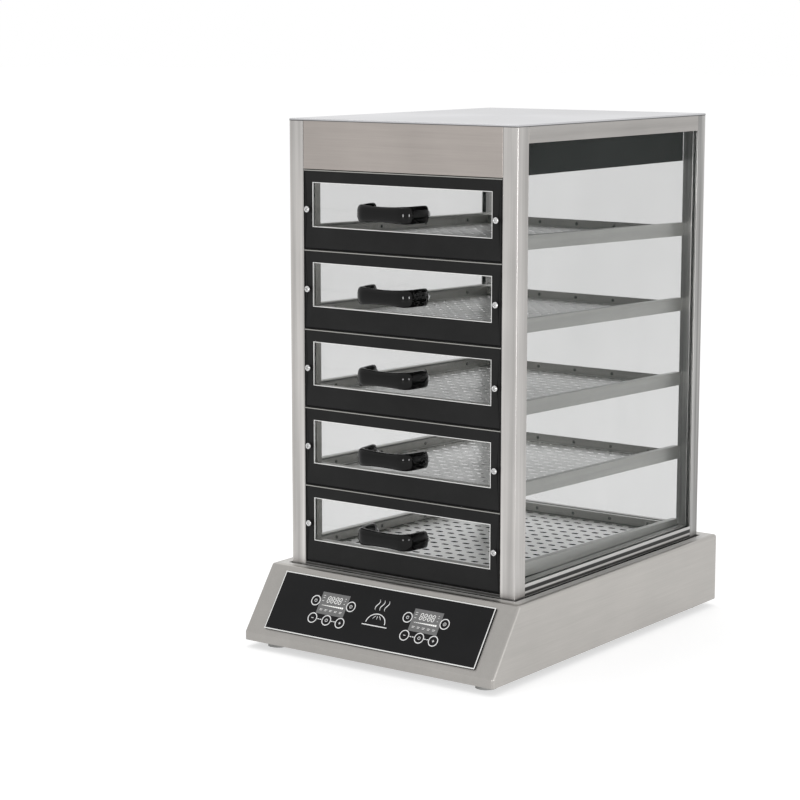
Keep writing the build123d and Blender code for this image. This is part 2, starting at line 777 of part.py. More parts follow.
# Each level: a pair of runners on the posts and a drawer of six pieces
for level in range(drawer_count):
    number = level + 1
    front_middle = drawer_bottom(level) + front_height / 2
    window_middle = window_level - front_height / 2
    screw_height = screw_level - front_height / 2
    handle_level = handle_centre - front_height / 2

    # Runners: channels that fall to the back, open towards the tray
    with BuildPart() as runners:
        ends = front_post_depth
        profile_plane = Plane(
            origin=slide_plane(level, 0).origin,
            x_dir=(1, 0, 0),
            z_dir=(0, -math.cos(tilt), math.sin(tilt)),
        )
        with BuildSketch(profile_plane.offset(ends)):
            with BuildLine():
                Polyline(
                    (runner_spread, 0),
                    (runner_spread, runner_height),
                    (runner_spread - runner_lip, runner_height),
                    (runner_spread - runner_lip, runner_height - runner_sheet),
                    (runner_spread - runner_sheet, runner_height - runner_sheet),
                    (runner_spread - runner_sheet, runner_sheet),
                    (runner_spread - runner_ledge, runner_sheet),
                    (runner_spread - runner_ledge, 0),
                    close=True,
                )
            make_face()
        extrude(amount=-rail_length - 2 * ends)
        split(bisect_by=front_plane(front_post_back, 0), keep=Keep.BOTTOM)
        split(bisect_by=front_plane(back_post_front, 0), keep=Keep.TOP)
        mirror(about=Plane.YZ)
    write(runners, f"runners_{number}")

    # Tray: steel front rim, web with the window's reveal, and the shallow pan behind it
    with BuildPart() as tray:
        with BuildSketch(slide_plane(level, tray_lift)):
            with Locations((0, tray_depth / 2 - front_post_depth / 2)):
                Rectangle(tray_width, tray_depth + front_post_depth)
        extrude(amount=tray_wall_height)
        with BuildSketch(slide_plane(level, floor_lift)):
            with Locations((0, tray_depth / 2 - front_post_depth / 2 - tray_sheet)):
                Rectangle(tray_inner, tray_depth + front_post_depth)
        extrude(amount=tray_wall_height, mode=Mode.SUBTRACT)
        opening_start = tray_front + tray_ledge
        opening_end = tray_depth - tray_sheet - tray_ledge
        with BuildSketch(slide_plane(level, tray_lift)):
            with Locations((0, (opening_start + opening_end) / 2)):
                Rectangle(tray_inner - 2 * tray_ledge, opening_end - opening_start)
        extrude(amount=tray_sheet, mode=Mode.SUBTRACT)
        split(bisect_by=front_plane(web_back, 0), keep=Keep.BOTTOM)
        with BuildSketch(front_plane(web_face, front_middle)):
            Rectangle(front_width - rim_wall, front_height - rim_wall)
            with Locations((0, window_middle)):
                Rectangle(window_width + 2, window_height + 2, mode=Mode.SUBTRACT)
            with Locations((-screw_offset, screw_height), (screw_offset, screw_height)):
                Circle(screw_radius + fit, mode=Mode.SUBTRACT)
        extrude(amount=-tray_sheet)
        with BuildSketch(front_plane(web_face, front_middle)):
            with Locations((0, window_middle)):
                Rectangle(window_width + 2 + 2 * tray_sheet, window_height + 2 + 2 * tray_sheet)
                Rectangle(window_width + 2, window_height + 2, mode=Mode.SUBTRACT)
        extrude(amount=-reveal_depth)
        with BuildSketch(front_plane(cabinet_front, front_middle)):
            Rectangle(front_width, front_height)
            Rectangle(front_width - 2 * rim_wall, front_height - 2 * rim_wall, mode=Mode.SUBTRACT)
        extrude(amount=-(rim_back - cabinet_front))
    write(tray, f"tray_{number}")

    # Perforated floor, lying on the pan's ledge
    with BuildPart() as tray_floor:
        floor_start = tray_front + tray_sheet
        floor_end = tray_depth - tray_sheet - fit
        slot_columns = int((tray_inner - 2 * tray_ledge) / slot_pitch_x)
        slot_rows = int((floor_end - floor_start - 2 * tray_ledge) / slot_pitch_y)
        with BuildSketch(slide_plane(level, floor_lift)):
            with Locations((0, (floor_start + floor_end) / 2)):
                Rectangle(tray_inner - 2 * fit, floor_end - floor_start)
                with GridLocations(slot_pitch_x, slot_pitch_y, slot_columns, slot_rows):
                    Rectangle(slot_length, slot_width, mode=Mode.SUBTRACT)
        extrude(amount=floor_sheet)
    write(tray_floor, f"tray_floor_{number}")

    # Black front panel with its window opening, set just behind the rim's edge
    with BuildPart() as front_panel:
        with BuildSketch(front_plane(panel_face, front_middle)):
            Rectangle(panel_width, panel_height)
            with Locations((0, window_middle)):
                Rectangle(window_width, window_height, mode=Mode.SUBTRACT)
            with Locations((-screw_offset, screw_height), (screw_offset, screw_height)):
                Circle(screw_radius + fit, mode=Mode.SUBTRACT)
        extrude(amount=-panel_thickness)
    write(front_panel, f"front_panel_{number}")

    # Clear pane behind the panel, drilled for the side screws and the handle's bolts
    with BuildPart() as pane:
        with BuildSketch(front_plane(pane_face, front_middle)):
            Rectangle(panel_width, panel_height)
            with Locations((-screw_offset, screw_height), (screw_offset, screw_height)):
                Circle(screw_radius + fit, mode=Mode.SUBTRACT)
            with Locations((handle_offset, handle_level)):
                with Locations((-bolt_offset, 0), (bolt_offset, 0)):
                    Circle(bolt_radius + fit, mode=Mode.SUBTRACT)
        extrude(amount=-pane_thickness)
    write(pane, f"window_{number}")

    # Bow handle with a slightly waisted grip, standing on the pane
    grip_face = pane_face - handle_reach
    grip_half = handle_width / 2 - handle_taper
    with BuildPart() as handle:
        bow_bottom = front_middle + handle_level - handle_height / 2
        with BuildSketch(Plane(origin=(handle_offset, 0, bow_bottom))) as bow:
            with BuildLine():
                Polyline(
                    (-handle_width / 2, pane_face),
                    (-grip_half, grip_face),
                    (grip_half, grip_face),
                    (handle_width / 2, pane_face),
                    close=True,
                )
            make_face()
            fillet(bow.vertices().group_by(Axis.Y)[0], radius=handle_corner)
            with BuildLine():
                Polyline(
                    (-handle_width / 2 + handle_strap, pane_face),
                    (-grip_half + handle_strap, grip_face + handle_strap),
                    (grip_half - handle_strap, grip_face + handle_strap),
                    (handle_width / 2 - handle_strap, pane_face),
                    close=True,
                )
            make_face(mode=Mode.SUBTRACT)
        extrude(amount=handle_height)
        rounded = handle.edges().filter_by_position(Axis.Y, grip_face, pane_face - 1)
        fillet(rounded, radius=handle_round)
        for edge in (-1, 1):
            with BuildSketch(front_plane(pane_face, front_middle + handle_level, handle_offset)):
                with BuildLine():
                    ThreePointArc(
                        (-grip_half + handle_corner, edge * handle_height / 2),
                        (0, edge * (handle_height / 2 - handle_waist)),
                        (grip_half - handle_corner, edge * handle_height / 2),
                    )
                    Line(
                        (grip_half - handle_corner, edge * handle_height / 2),
                        (-grip_half + handle_corner, edge * handle_height / 2),
                    )
                make_face()
            extrude(amount=handle_reach, mode=Mode.SUBTRACT)
        with BuildSketch(front_plane(pane_face, front_middle + handle_level, handle_offset)):
            with Locations((-bolt_offset, 0), (bolt_offset, 0)):
                Circle(bolt_radius + fit)
        extrude(amount=bolt_grip + fit, mode=Mode.SUBTRACT)
    write(handle, f"handle_{number}")

    # Fixings: two domed screws at the sides, two bolts that hold the handle from behind
    with BuildPart() as fixings:
        for side in (-1, 1):
            add(
                domed_screw(
                    (side * screw_offset, panel_face, front_middle + screw_height),
                    (0, -1, 0),
                    screw_head_radius,
                    screw_head_height,
                    screw_radius,
                    web_back - panel_face + screw_tail,
                )
            )
            add(
                domed_screw(
                    (handle_offset + side * bolt_offset, web_face, front_middle + handle_level),
                    (0, 1, 0),
                    bolt_head_radius,
                    bolt_head_height,
                    bolt_radius,
                    pane_thickness + bolt_grip,
                )
            )
    write(fixings, f"fixings_{number}")
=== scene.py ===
"""Looks of the bun steamer: finishes, perforated floors, handles, screws and panel print."""

import json
import math

import bmesh
import bpy
from mathutils import Matrix, Vector


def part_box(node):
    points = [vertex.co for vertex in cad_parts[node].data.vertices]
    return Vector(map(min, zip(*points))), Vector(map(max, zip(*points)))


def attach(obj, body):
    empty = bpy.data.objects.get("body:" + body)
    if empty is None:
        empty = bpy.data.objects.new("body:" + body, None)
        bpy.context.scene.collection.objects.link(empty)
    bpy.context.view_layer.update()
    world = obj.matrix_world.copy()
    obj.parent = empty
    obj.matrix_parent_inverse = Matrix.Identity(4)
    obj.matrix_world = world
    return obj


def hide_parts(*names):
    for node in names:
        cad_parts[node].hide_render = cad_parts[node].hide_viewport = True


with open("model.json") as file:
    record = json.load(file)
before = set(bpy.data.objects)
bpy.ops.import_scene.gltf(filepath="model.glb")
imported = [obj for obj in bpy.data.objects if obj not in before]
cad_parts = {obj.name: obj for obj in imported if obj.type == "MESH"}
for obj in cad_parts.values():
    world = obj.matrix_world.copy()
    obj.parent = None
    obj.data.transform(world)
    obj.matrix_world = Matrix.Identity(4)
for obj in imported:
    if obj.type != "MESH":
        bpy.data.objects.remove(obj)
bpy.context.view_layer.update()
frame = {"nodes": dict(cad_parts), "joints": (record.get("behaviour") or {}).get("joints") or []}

MM = 0.001
LEVELS = range(1, 6)

# Camera, solved from the photograph's straight edges
LENS = 103.5
SENSOR = 36.0
YAW = math.radians(36.29)
PITCH = math.radians(9.30)
CAMERA_RIGHT = 1.7364
CAMERA_AHEAD = 2.3643
CAMERA_HEIGHT = 0.8240

# Studio: lamps as name, place, aim and side in metres, and power in watts
LAMPS = (
    ("front_light", (1.03, -2.82, 0.42), (0, 0, 0.4), 0.40, 14),
    ("side_light", (2.82, -1.03, 0.42), (0, 0, 0.4), 0.40, 14),
    ("top_light", (-0.6, 0.3, 3.4), (0, 0, 0.35), 1.8, 24),
)
FLOOR_REACH = 30.0
FLOOR_DROP = 0.2 * MM
FLOOR_MATT = 0.75
FLOOR_SHADED = 0.58
FLOOR_GLOW = 0.60
WORLD_LEVEL = 0.72

# Noise of the finishes, in features per metre
GRAIN = 700.0
STREAKS = 110.0
CLOUDS = 9.0
HANDLING_MARKS = 22.0
WIPED_MARKS = 5.0
INK_FILM = 300.0
NOISE_LOW = 0.3
NOISE_HIGH = 0.7

# Perforated floor
COLUMNS = 16
ROWS = 18
PITCH_X = 19.1 * MM
PITCH_Y = 22.6 * MM
SLOT_LENGTH = 11.0 * MM
SLOT_WIDTH = 7.0 * MM
SLOT_STEPS = 5
FIRST_ROW = 21.0 * MM

# Handle: the waist is the share by which its grip is lower in the middle
STRAP = 12.0 * MM
TAPER = 4.0 * MM
HANDLE_CORNER = 11.0 * MM
WAIST = 0.13
WAIST_ENDS = 8.0 * MM

# Screws and the handle's bolts: outlines as (out, radius) in millimetres
SCREW_OUTLINE = (
    (-8.0, 2.0),
    (0.0, 2.0),
    (0.1, 2.3),
    (2.9, 4.1),
    (3.1, 4.25),
    (3.9, 4.25),
    (4.5, 3.9),
    (4.9, 3.0),
    (5.1, 1.6),
    (5.15, 0.05),
)
BOLT_OUTLINE = (
    (0.0, 5.0),
    (1.2, 5.0),
    (2.1, 4.5),
    (2.8, 3.4),
    (3.1, 1.8),
    (3.2, 0.05),
)
CAD_SCREW_RADIUS = 4.2 * MM
CROSS_ARM = 2.3 * MM
CROSS_HALF_WIDTH = 0.55 * MM
CROSS_DEPTH = 1.5 * MM
CROSS_CLEAR = 1.0 * MM
SCREW_TURN = math.radians(25)
TURN_PER_LEVEL = math.radians(13)

# Rivets of the tray
BACK_RIVETS = 5
BACK_RIVET_PITCH = 62.0 * MM
SIDE_RIVETS = 4
RIVET_HEIGHT = 5.5 * MM
RIVET_RADIUS = 2.4 * MM
RIVET_FLATNESS = 0.5

# Bead around the window's opening
TRIM_FACE = 0.8 * MM
TRIM_PROUD = 0.3 * MM
TRIM_LAP = 0.2 * MM
TRIM_DEPTH = 1.9 * MM
PANEL_MARGIN = 12.0 * MM

# Black paint on the tray's front rim
RIM_DEPTH = 2.0 * MM
RIM_PAINT_OVER = 0.4 * MM

# Panel print in millimetres, measured down the slope from the glass's upper edge
DISPLAY_OFFSET = 75.0
DISPLAY_TOP = 20.0
DISPLAY_WIDTH = 45.0
DISPLAY_HEIGHT = 31.0
DIGIT_OFFSETS = (-9.3, -3.4, 3.4, 9.3)
DIGIT_DOWN = 9.5
DIGIT_WIDTH = 3.6
DIGIT_HEIGHT = 8.6
STROKE = 0.85
DIGIT_LEAN = 1.2
COLON_DOWN = (7.6, 11.4)
SIDE_MARKS_DOWN = (5.0, 8.0, 12.5)
LEVEL_BARS = 12
LOWER_MARKS = 5
RING_OUTER = 7.4
RING_INNER = 6.1
KEYS = (
    (-29.5, 13.8, "timer"),
    (28.7, 14.0, "power"),
    (-24.5, 38.2, "minus"),
    (-1.2, 38.4, "round"),
    (20.9, 38.8, "plus"),
)
DASH_OFFSETS = (-1.9, 1.9)
DASH_DOWN = 38.4
SEGMENTS = (
    (0.0, -0.5, "flat"),
    (0.0, 0.0, "flat"),
    (0.0, 0.5, "flat"),
    (-0.5, -0.25, "tall"),
    (0.5, -0.25, "tall"),
    (-0.5, 0.25, "tall"),
    (0.5, 0.25, "tall"),
)
BORDER_WIDTH = 1.5
BORDER_INSET = 0.4
FIELD_LIFT = 0.04
INK_LIFT = 0.06
DIGIT_LIFT = 0.08
BORDER_LIFT = 0.12

# Steam mark in millimetres: wavy lines over a half-round bun on a plate line
WAVES = 3
WAVE_PITCH = 7.5
WAVE_SWING = 1.5
WAVE_LEAN = 2.4
WAVE_TOP = 17.0
WAVE_HEIGHT = 15.0
BUN_HALF_WIDTH = 15.0
BUN_HEIGHT = 13.0
BUN_FOOT = 50.0
PLATE_HALF_WIDTH = 20.0
PLATE_DOWN = 53.5
MARK_LINE = 1.3
MARK_STEPS = 24


def linear(red, green, blue):
    """Linear colour from 8-bit sRGB values."""
    values = []
    for value in (red, green, blue):
        share = value / 255
        values.append(share / 12.92 if share <= 0.04045 else ((share + 0.055) / 1.055) ** 2.4)
    return (*values, 1.0)


def new_material(name):
    """Material with a Principled shader; returns the material, its node tree and the shader."""
    material = bpy.data.materials.new(name)
    material.use_nodes = True
    tree = material.node_tree
    return material, tree, tree.nodes["Principled BSDF"]


def coordinate(tree, system, axis):
    """One axis of the object's own coordinates or of its normal."""
    place = tree.nodes.new("ShaderNodeTexCoord")
    split = tree.nodes.new("ShaderNodeSeparateXYZ")
    tree.links.new(place.outputs[system], split.inputs[0])
    return split.outputs[axis]


def calculate(tree, operation, first, second):
    """Result of a maths node on a value and a second value or plain number."""
    result = tree.nodes.new("ShaderNodeMath")
    result.operation = operation
    tree.links.new(first, result.inputs[0])
    if isinstance(second, (int, float)):
        result.inputs[1].default_value = second
    else:
        tree.links.new(second, result.inputs[1])
    return result.outputs[0]


def map_range(tree, source, start, end, low=0.0, high=1.0):
    """The value mapped from one range to another."""
    change = tree.nodes.new("ShaderNodeMapRange")
    change.inputs["From Min"].default_value = start
    change.inputs["From Max"].default_value = end
    change.inputs["To Min"].default_value = low
    change.inputs["To Max"].default_value = high
    tree.links.new(source, change.inputs["Value"])
    return change.outputs["Result"]


def noise_on(tree, scale, stretch=(1, 1, 1), detail=3.0, rough=0.5):
    """Noise in the object's own coordinates, stretched along the axes."""
    place = tree.nodes.new("ShaderNodeTexCoord")
    mapping = tree.nodes.new("ShaderNodeMapping")
    mapping.inputs["Scale"].default_value = stretch
    noise = tree.nodes.new("ShaderNodeTexNoise")
    noise.inputs["Scale"].default_value = scale
    noise.inputs["Detail"].default_value = detail
    noise.inputs["Roughness"].default_value = rough
    tree.links.new(place.outputs["Object"], mapping.inputs["Vector"])
    tree.links.new(mapping.outputs["Vector"], noise.inputs["Vector"])
    return noise.outputs["Fac"]


def spread(tree, noise, low, high):
    """Noise mapped to a range."""
    return map_range(tree, noise, NOISE_LOW, NOISE_HIGH, low, high)


def blend_colours(tree, source, first, second):
    """Colour that goes from the first to the second with noise or another 0 to 1 value."""
    ramp = tree.nodes.new("ShaderNodeValToRGB")
    ramp.color_ramp.elements[0].position = NOISE_LOW
    ramp.color_ramp.elements[0].color = first
    ramp.color_ramp.elements[1].position = NOISE_HIGH
    ramp.color_ramp.elements[1].color = second
    tree.links.new(source, ramp.inputs["Fac"])
    return ramp.outputs["Color"]


def grey(level):
    """Plain grey at a linear level."""
    return (level, level, level, 1.0)


def scaled(colour, share):
    """The colour made lighter or darker."""
    return (*(min(1.0, part * share) for part in colour[:3]), 1.0)


def add_bump(tree, shader, source, strength, distance):
    """Small relief from a value."""
    bump = tree.nodes.new("ShaderNodeBump")
    bump.inputs["Strength"].default_value = strength
    bump.inputs["Distance"].default_value = distance
    tree.links.new(source, bump.inputs["Height"])
    tree.links.new(bump.outputs["Normal"], shader.inputs["Normal"])


def band_colour(tree, bands, axis):
    """Grey that changes along one axis through (place, level) pairs."""
    start, first_level = bands[0]
    end, last_level = bands[-1]
    ramp = tree.nodes.new("ShaderNodeValToRGB")
    share = map_range(tree, coordinate(tree, "Object", axis), start, end)
    tree.links.new(share, ramp.inputs["Fac"])
    stops = ramp.color_ramp.elements
    for place, level in bands[1:-1]:
        stops.new((place - start) / (end - start)).color = grey(level)
    stops[0].color = grey(first_level)
    stops[-1].color = grey(last_level)
    return ramp.outputs["Color"]


def facing(tree, axis, start, end):
    """0 to 1 as the part of a face's normal along one axis goes from start to end."""
    return map_range(tree, coordinate(tree, "Normal", axis), start, end)


def mix_colours(tree, blend, factor, first, second):
    """Two colours mixed; each of factor and second is a socket or a plain value."""
    mix = tree.nodes.new("ShaderNodeMix")
    mix.data_type = "RGBA"
    mix.blend_type = blend
    colours = [socket for socket in mix.inputs if socket.type == "RGBA"]
    tree.links.new(first, colours[0])
    for given, socket in ((factor, mix.inputs["Factor"]), (second, colours[1])):
        if isinstance(given, bpy.types.NodeSocket):
            tree.links.new(given, socket)
        else:
            socket.default_value = given
    return next(socket for socket in mix.outputs if socket.type == "RGBA")


def multiply(tree, first, second):
    """Product of two colours."""
    return mix_colours(tree, "MULTIPLY", 1.0, first, second)


def brushed_steel(
    name, colour, grain, roughness, streak=0.10, bands=None, axis="Z", front=1.0, metallic=1.0
):
    """Sheet with fine grain along one axis, wider streaks, soft clouds and uneven gloss.

    Bands are painted reflections and painted shade along an axis, and front is the share of its
    colour on faces that look ahead, a painted shade.
    """
    material, tree, shader = new_material(name)
    fine = {"X": (0.02, 1, 1), "Y": (1, 0.02, 1), "Z": (1, 1, 0.02)}[grain]
    grain_noise = noise_on(tree, GRAIN, fine, 3.0, 0.6)
    streak_noise = noise_on(tree, STREAKS, fine, 2.0, 0.5)
    cloud_noise = noise_on(tree, CLOUDS, (1, 1, 1), 3.0, 0.55)
    tint = blend_colours(tree, grain_noise, scaled(colour, 0.965), scaled(colour, 1.035))
    wide = blend_colours(tree, streak_noise, grey(1 - streak), grey(1))
    soft = blend_colours(tree, cloud_noise, grey(0.90), grey(1))
    tint = multiply(tree, multiply(tree, tint, wide), soft)
    # Bands of painted reflections and painted shade along one axis
    if bands:
        tint = multiply(tree, tint, band_colour(tree, bands, axis))
    # Faces that look ahead are darker: painted shade
    if front != 1.0:
        shade = blend_colours(tree, facing(tree, "Y", -0.3, -0.7), grey(1), grey(front))
        tint = multiply(tree, tint, shade)
    tree.links.new(tint, shader.inputs["Base Color"])
    shader.inputs["Metallic"].default_value = metallic
    gloss = spread(tree, cloud_noise, roughness - 0.02, roughness + 0.08)
    tree.links.new(gloss, shader.inputs["Roughness"])
    shader.inputs["Anisotropic"].default_value = 0.35
    add_bump(tree, shader, grain_noise, 0.08, 0.00005)
    return material


def moulded(name, colour, roughness, grain_scale=400.0, relief=0.06, specular=0.5):
    """Plastic, rubber or paint with a fine skin and faint handling marks."""
    material, tree, shader = new_material(name)
    skin = noise_on(tree, grain_scale, (1, 1, 1), 3.0, 0.6)
    marks = noise_on(tree, HANDLING_MARKS, (1, 1, 1), 4.0, 0.6)
    tint = blend_colours(tree, marks, scaled(colour, 0.85), scaled(colour, 1.2))
    tree.links.new(tint, shader.inputs["Base Color"])
    gloss = spread(tree, marks, roughness - 0.04, roughness + 0.08)
    tree.links.new(gloss, shader.inputs["Roughness"])
    shader.inputs["Specular IOR Level"].default_value = specular
    add_bump(tree, shader, skin, relief, 0.0001)
    return material


def base_colour(material):
    """Node tree, shader and the socket that colours it, of a finish made before."""
    tree = material.node_tree
    shader = tree.nodes["Principled BSDF"]
    return tree, shader, shader.inputs["Base Color"].links[0].from_socket


def tray_finish(level):
    """Steel tray whose front rim is painted black, all but the bright edge on its top."""
    panel_low, panel_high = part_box(f"front_panel_{level}")
    material = brushed_steel(f"tray_steel_{level}", linear(168, 167, 163), "X", 0.34, 0.12)
    tree, shader, steel = base_colour(material)
    ahead = calculate(
        tree, "LESS_THAN", coordinate(tree, "Object", "Y"), panel_low.y + RIM_DEPTH
    )
    below = calculate(
        tree, "LESS_THAN", coordinate(tree, "Object", "Z"), panel_high.z + RIM_PAINT_OVER
    )
    painted = calculate(tree, "MULTIPLY", ahead, below)
    colour = mix_colours(tree, "MIX", painted, steel, linear(30, 30, 30))
    tree.links.new(colour, shader.inputs["Base Color"])
    return material


def shaded_edges(material, level):
    """The finish with painted shade on its punched edges: every face that doesn't look up is
    darker.
    """
    tree, shader, steel = base_colour(material)
    shade = blend_colours(tree, facing(tree, "Z", 0.2, 0.8), grey(level), grey(1))
    tree.links.new(multiply(tree, steel, shade), shader.inputs["Base Color"])
    return material


def clear_glass(name, colour, cover):
    """Clear pane that lets most light straight through, with a faint veil and wiped marks."""
    material, tree, shader = new_material(name)
    wiped = noise_on(tree, WIPED_MARKS, (1, 1, 0.4), 5.0, 0.65)
    shader.inputs["Base Color"].default_value = colour
    veil = spread(tree, wiped, cover - 0.012, cover + 0.018)
    tree.links.new(veil, shader.inputs["Alpha"])
    gloss = spread(tree, wiped, 0.02, 0.07)
    tree.links.new(gloss, shader.inputs["Roughness"])
    shader.inputs["IOR"].default_value = 1.5
    return material


def printed_ink(name, colour, glow):
    """Screen print with a slightly uneven film; glow makes it read on the black glass, and on the
    panel's print this glow is painted light.
    """
    material, tree, shader = new_material(name)
    film = noise_on(tree, INK_FILM, (1, 1, 1), 2.0, 0.5)
    tint = blend_colours(tree, film, scaled(colour, 0.9), colour)
    tree.links.new(tint, shader.inputs["Base Color"])
    tree.links.new(tint, shader.inputs["Emission Color"])
    shader.inputs["Emission Strength"].default_value = glow
    shader.inputs["Roughness"].default_value = 0.4
    return material


def add_object(name, data):
    """Object in the scene for a mesh, lamp or camera."""
    piece = bpy.data.objects.new(name, data)
    bpy.context.scene.collection.objects.link(piece)
    return piece


def mesh_object(name, vertices, faces, material, smooth=False):
    """Object from plain vertex and face lists, with one material."""
    mesh = bpy.data.meshes.new(name)
    mesh.from_pydata([tuple(v) for v in vertices], [], faces)
    mesh.validate()
    mesh.materials.append(material)
    mesh.polygons.foreach_set("use_smooth", [smooth] * len(mesh.polygons))
    return add_object(name, mesh)


def object_from(shape, name, material):
    """Object from a bmesh, which is freed."""
    mesh = bpy.data.meshes.new(name)
    shape.to_mesh(mesh)
    shape.free()
    mesh.materials.append(material)
    return add_object(name, mesh)


def recalculate(piece):
    """Make the faces point outwards."""
    shape = bmesh.new()
    shape.from_mesh(piece.data)
    bmesh.ops.remove_doubles(shape, verts=shape.verts, dist=1e-7)
    bmesh.ops.recalc_face_normals(shape, faces=shape.faces)
    shape.to_mesh(piece.data)
    shape.free()


# Bands of light and dark as (place in metres, level) pairs along one axis. They are painted
# reflections and painted shade, set to look like what the polished steel mirrors in the photograph
# and the shade that falls on it, and aren't the steel's colour.
RAIL_REFLECTION_AND_SHADE_BANDS = ((0.1015, 0.06), (0.1034, 0.08), (0.1040, 1.0), (0.1048, 1.0), (0.1054, 0.14),
              (0.1080, 0.12), (0.1086, 1.0), (0.1108, 1.0), (0.1114, 0.07), (0.1158, 0.06),
              (0.1168, 0.9), (0.1205, 0.9))
DECK_SHADE_BANDS = ((0.1000, 0.05), (0.1022, 0.07), (0.1032, 1.0), (0.1050, 1.0))
ROOF_SHADE_BANDS = ((0.6980, 0.20), (0.6992, 0.25), (0.6998, 1.0), (0.7020, 1.0))
FLOOR_SHADE_BANDS = ((0.10, 1.0), (0.17, 1.0), (0.24, 0.86), (0.34, 0.70), (0.45, 0.60), (0.60, 0.54))
POST_REFLECTION_AND_SHADE_BANDS = ((-0.1810, 0.78), (-0.1790, 0.94), (-0.1770, 0.74), (-0.1640, 0.82), (-0.1590, 1.0),
              (-0.1575, 0.35), (0.1572, 0.35), (0.1582, 1.0), (0.1640, 0.88), (0.1700, 0.78),
              (0.1760, 0.84), (0.1790, 1.0), (0.1800, 0.84))
FINISH = {
    "frame": brushed_steel(
        "frame_steel", linear(217, 214, 211), "Z", 0.33, 0.30, bands=POST_REFLECTION_AND_SHADE_BANDS, axis="X"
    ),
    "back_frame": brushed_steel("back_steel", linear(190, 189, 187), "Z", 0.33, 0.62),
    "rail": brushed_steel("rail_steel", linear(176, 173, 170), "Y", 0.36, 0.14),
    "sill": brushed_steel("sill_steel", linear(210, 209, 207), "Y", 0.33, 0.1, bands=RAIL_REFLECTION_AND_SHADE_BANDS),
    "fascia": brushed_steel("fascia_steel", linear(174, 167, 162), "X", 0.36, 0.05),
    # Faces of the base that look ahead are darker: painted shade
    "base": brushed_steel("base_steel", linear(187, 184, 180), "Y", 0.38, 0.03, front=0.82),
    "deck": brushed_steel(
        "deck_steel", linear(208, 206, 203), "Y", 0.40, 0.05, bands=DECK_SHADE_BANDS, metallic=0.45
    ),
    "roof": brushed_steel("roof_steel", linear(203, 203, 205), "Y", 0.36, 0.03, bands=ROOF_SHADE_BANDS),
    "runner": brushed_steel("runner_steel", linear(188, 188, 185), "Y", 0.34, 0.12),
    # Tray floors above the lowest are darker the higher they sit: painted shade
    "floor": brushed_steel(
        "floor_steel", linear(252, 252, 251), "X", 0.30, 0.03, bands=FLOOR_SHADE_BANDS
    ),
    # The lowest floor: painted shade darkens its slot walls, so that its slots read dark
    "low_floor": shaded_edges(
        brushed_steel("low_floor_shaded_steel", linear(254, 254, 253), "X", 0.30, 0.01), 0.02
    ),
    # Near black: painted shade for the dark inside of the base, seen through the lowest tray's
    # slots
    "tank": brushed_steel("tank_steel", linear(14, 14, 14), "Y", 0.5),
    "heater": brushed_steel("heater_steel", linear(70, 67, 64), "Y", 0.45),
    "rivet": brushed_steel("rivet_steel", linear(104, 104, 102), "Y", 0.35),
    "brass": brushed_steel("valve_brass", linear(196, 160, 92), "Y", 0.34),
    "chrome": brushed_steel("screw_chrome", linear(205, 205, 205), "Z", 0.14, 0.03),
    "trim": brushed_steel("panel_trim", linear(238, 238, 236), "X", 0.34, 0.03),
    "black": moulded("panel_black", linear(30, 30, 30), 0.36, specular=0.14),
    "ceiling": moulded("ceiling_black", linear(16, 16, 16), 0.5, specular=0.08),
    "handle": moulded(
        "handle_black", linear(6, 6, 6), 0.07, grain_scale=700.0, relief=0.01, specular=0.20
    ),
    "control": moulded(
        "control_black", linear(20, 20, 21), 0.10, grain_scale=900.0, relief=0.008, specular=0.15
    ),
    "rubber": moulded("foot_rubber", linear(170, 170, 168), 0.5),
    "nylon": moulded("gland_black", linear(34, 34, 34), 0.45),
    "board": moulded("board_green", linear(24, 92, 52), 0.4),
    "cream": moulded("block_white", linear(225, 222, 214), 0.45),
    "glass": clear_glass("clear_glass", linear(44, 58, 53), 0.118),
    "pane": clear_glass("clear_pane", linear(40, 50, 47), 0.118),
    # The panel print glows a little: painted light
    "ink": printed_ink("panel_ink", linear(214, 214, 214), 0.3),
    "glow": printed_ink("display_glow", linear(92, 92, 92), 0.45),
    "digit": printed_ink("display_digit", linear(218, 218, 216), 0.6),
}
NODE_FINISH = {
    "base_housing": "base",
    "base_deck": "deck",
    "base_plate": "tank",
    "feet": "rubber",
    "control_glass": "control",
    "control_board": "board",
    "display_modules": "nylon",
    "water_tank": "tank",
    "heating_elements": "heater",
    "temperature_probe": "tank",
    "drain_valve": "brass",
    "drain_lever": "nylon",
    "cable_gland": "nylon",
    "terminal_block": "cream",
    "front_posts": "frame",
    "back_posts": "back_frame",
    "top_rails": "rail",
    "bottom_rails": "sill",
    "front_fascia": "fascia",
    "roof_panel": "roof",
    "ceiling_pan": "ceiling",
    "left_glass": "glass",
    "right_glass": "glass",
    "back_glass": "glass",
    "runners": "runner",
    "tray_floor": "floor",
    "front_panel": "black",
    "window": "pane",
    "handle": "handle",
    "fixings": "chrome",
}
# Widths of the rolled edges in millimetres
SOFT_EDGES = {
    "front_posts": 0.8,
    "back_posts": 0.8,
    "top_rails": 0.6,
    "bottom_rails": 0.6,
    "front_fascia": 0.5,
    "tray": 0.35,
    "runners": 0.3,
    "front_panel": 0.3,
    "window": 0.3,
    "control_glass": 0.4,
    "base_plate": 0.3,
    "drain_lever": 0.5,
    "terminal_block": 0.5,
}


def kind(node):
    """Node name without its level number."""
    stem, _, number = node.rpartition("_")
    return stem if number.isdigit() else node


def dress_cad_nodes():
    """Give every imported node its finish, and rolled edges where light would catch them."""
    for name, node in frame["nodes"].items():
        node.data.materials.clear()
        if kind(name) == "tray":
            node.data.materials.append(tray_finish(int(name[-1])))
        else:
            node.data.materials.append(FINISH[NODE_FINISH[kind(name)]])
        width = SOFT_EDGES.get(kind(name))
        if width:
            weld = node.modifiers.new("weld", "WELD")
            weld.merge_threshold = 1e-6
            bevel = node.modifiers.new("edges", "BEVEL")
            bevel.width = width * MM
            bevel.segments = 2
            bevel.limit_method = "ANGLE"
            bevel.angle_limit = math.radians(40)


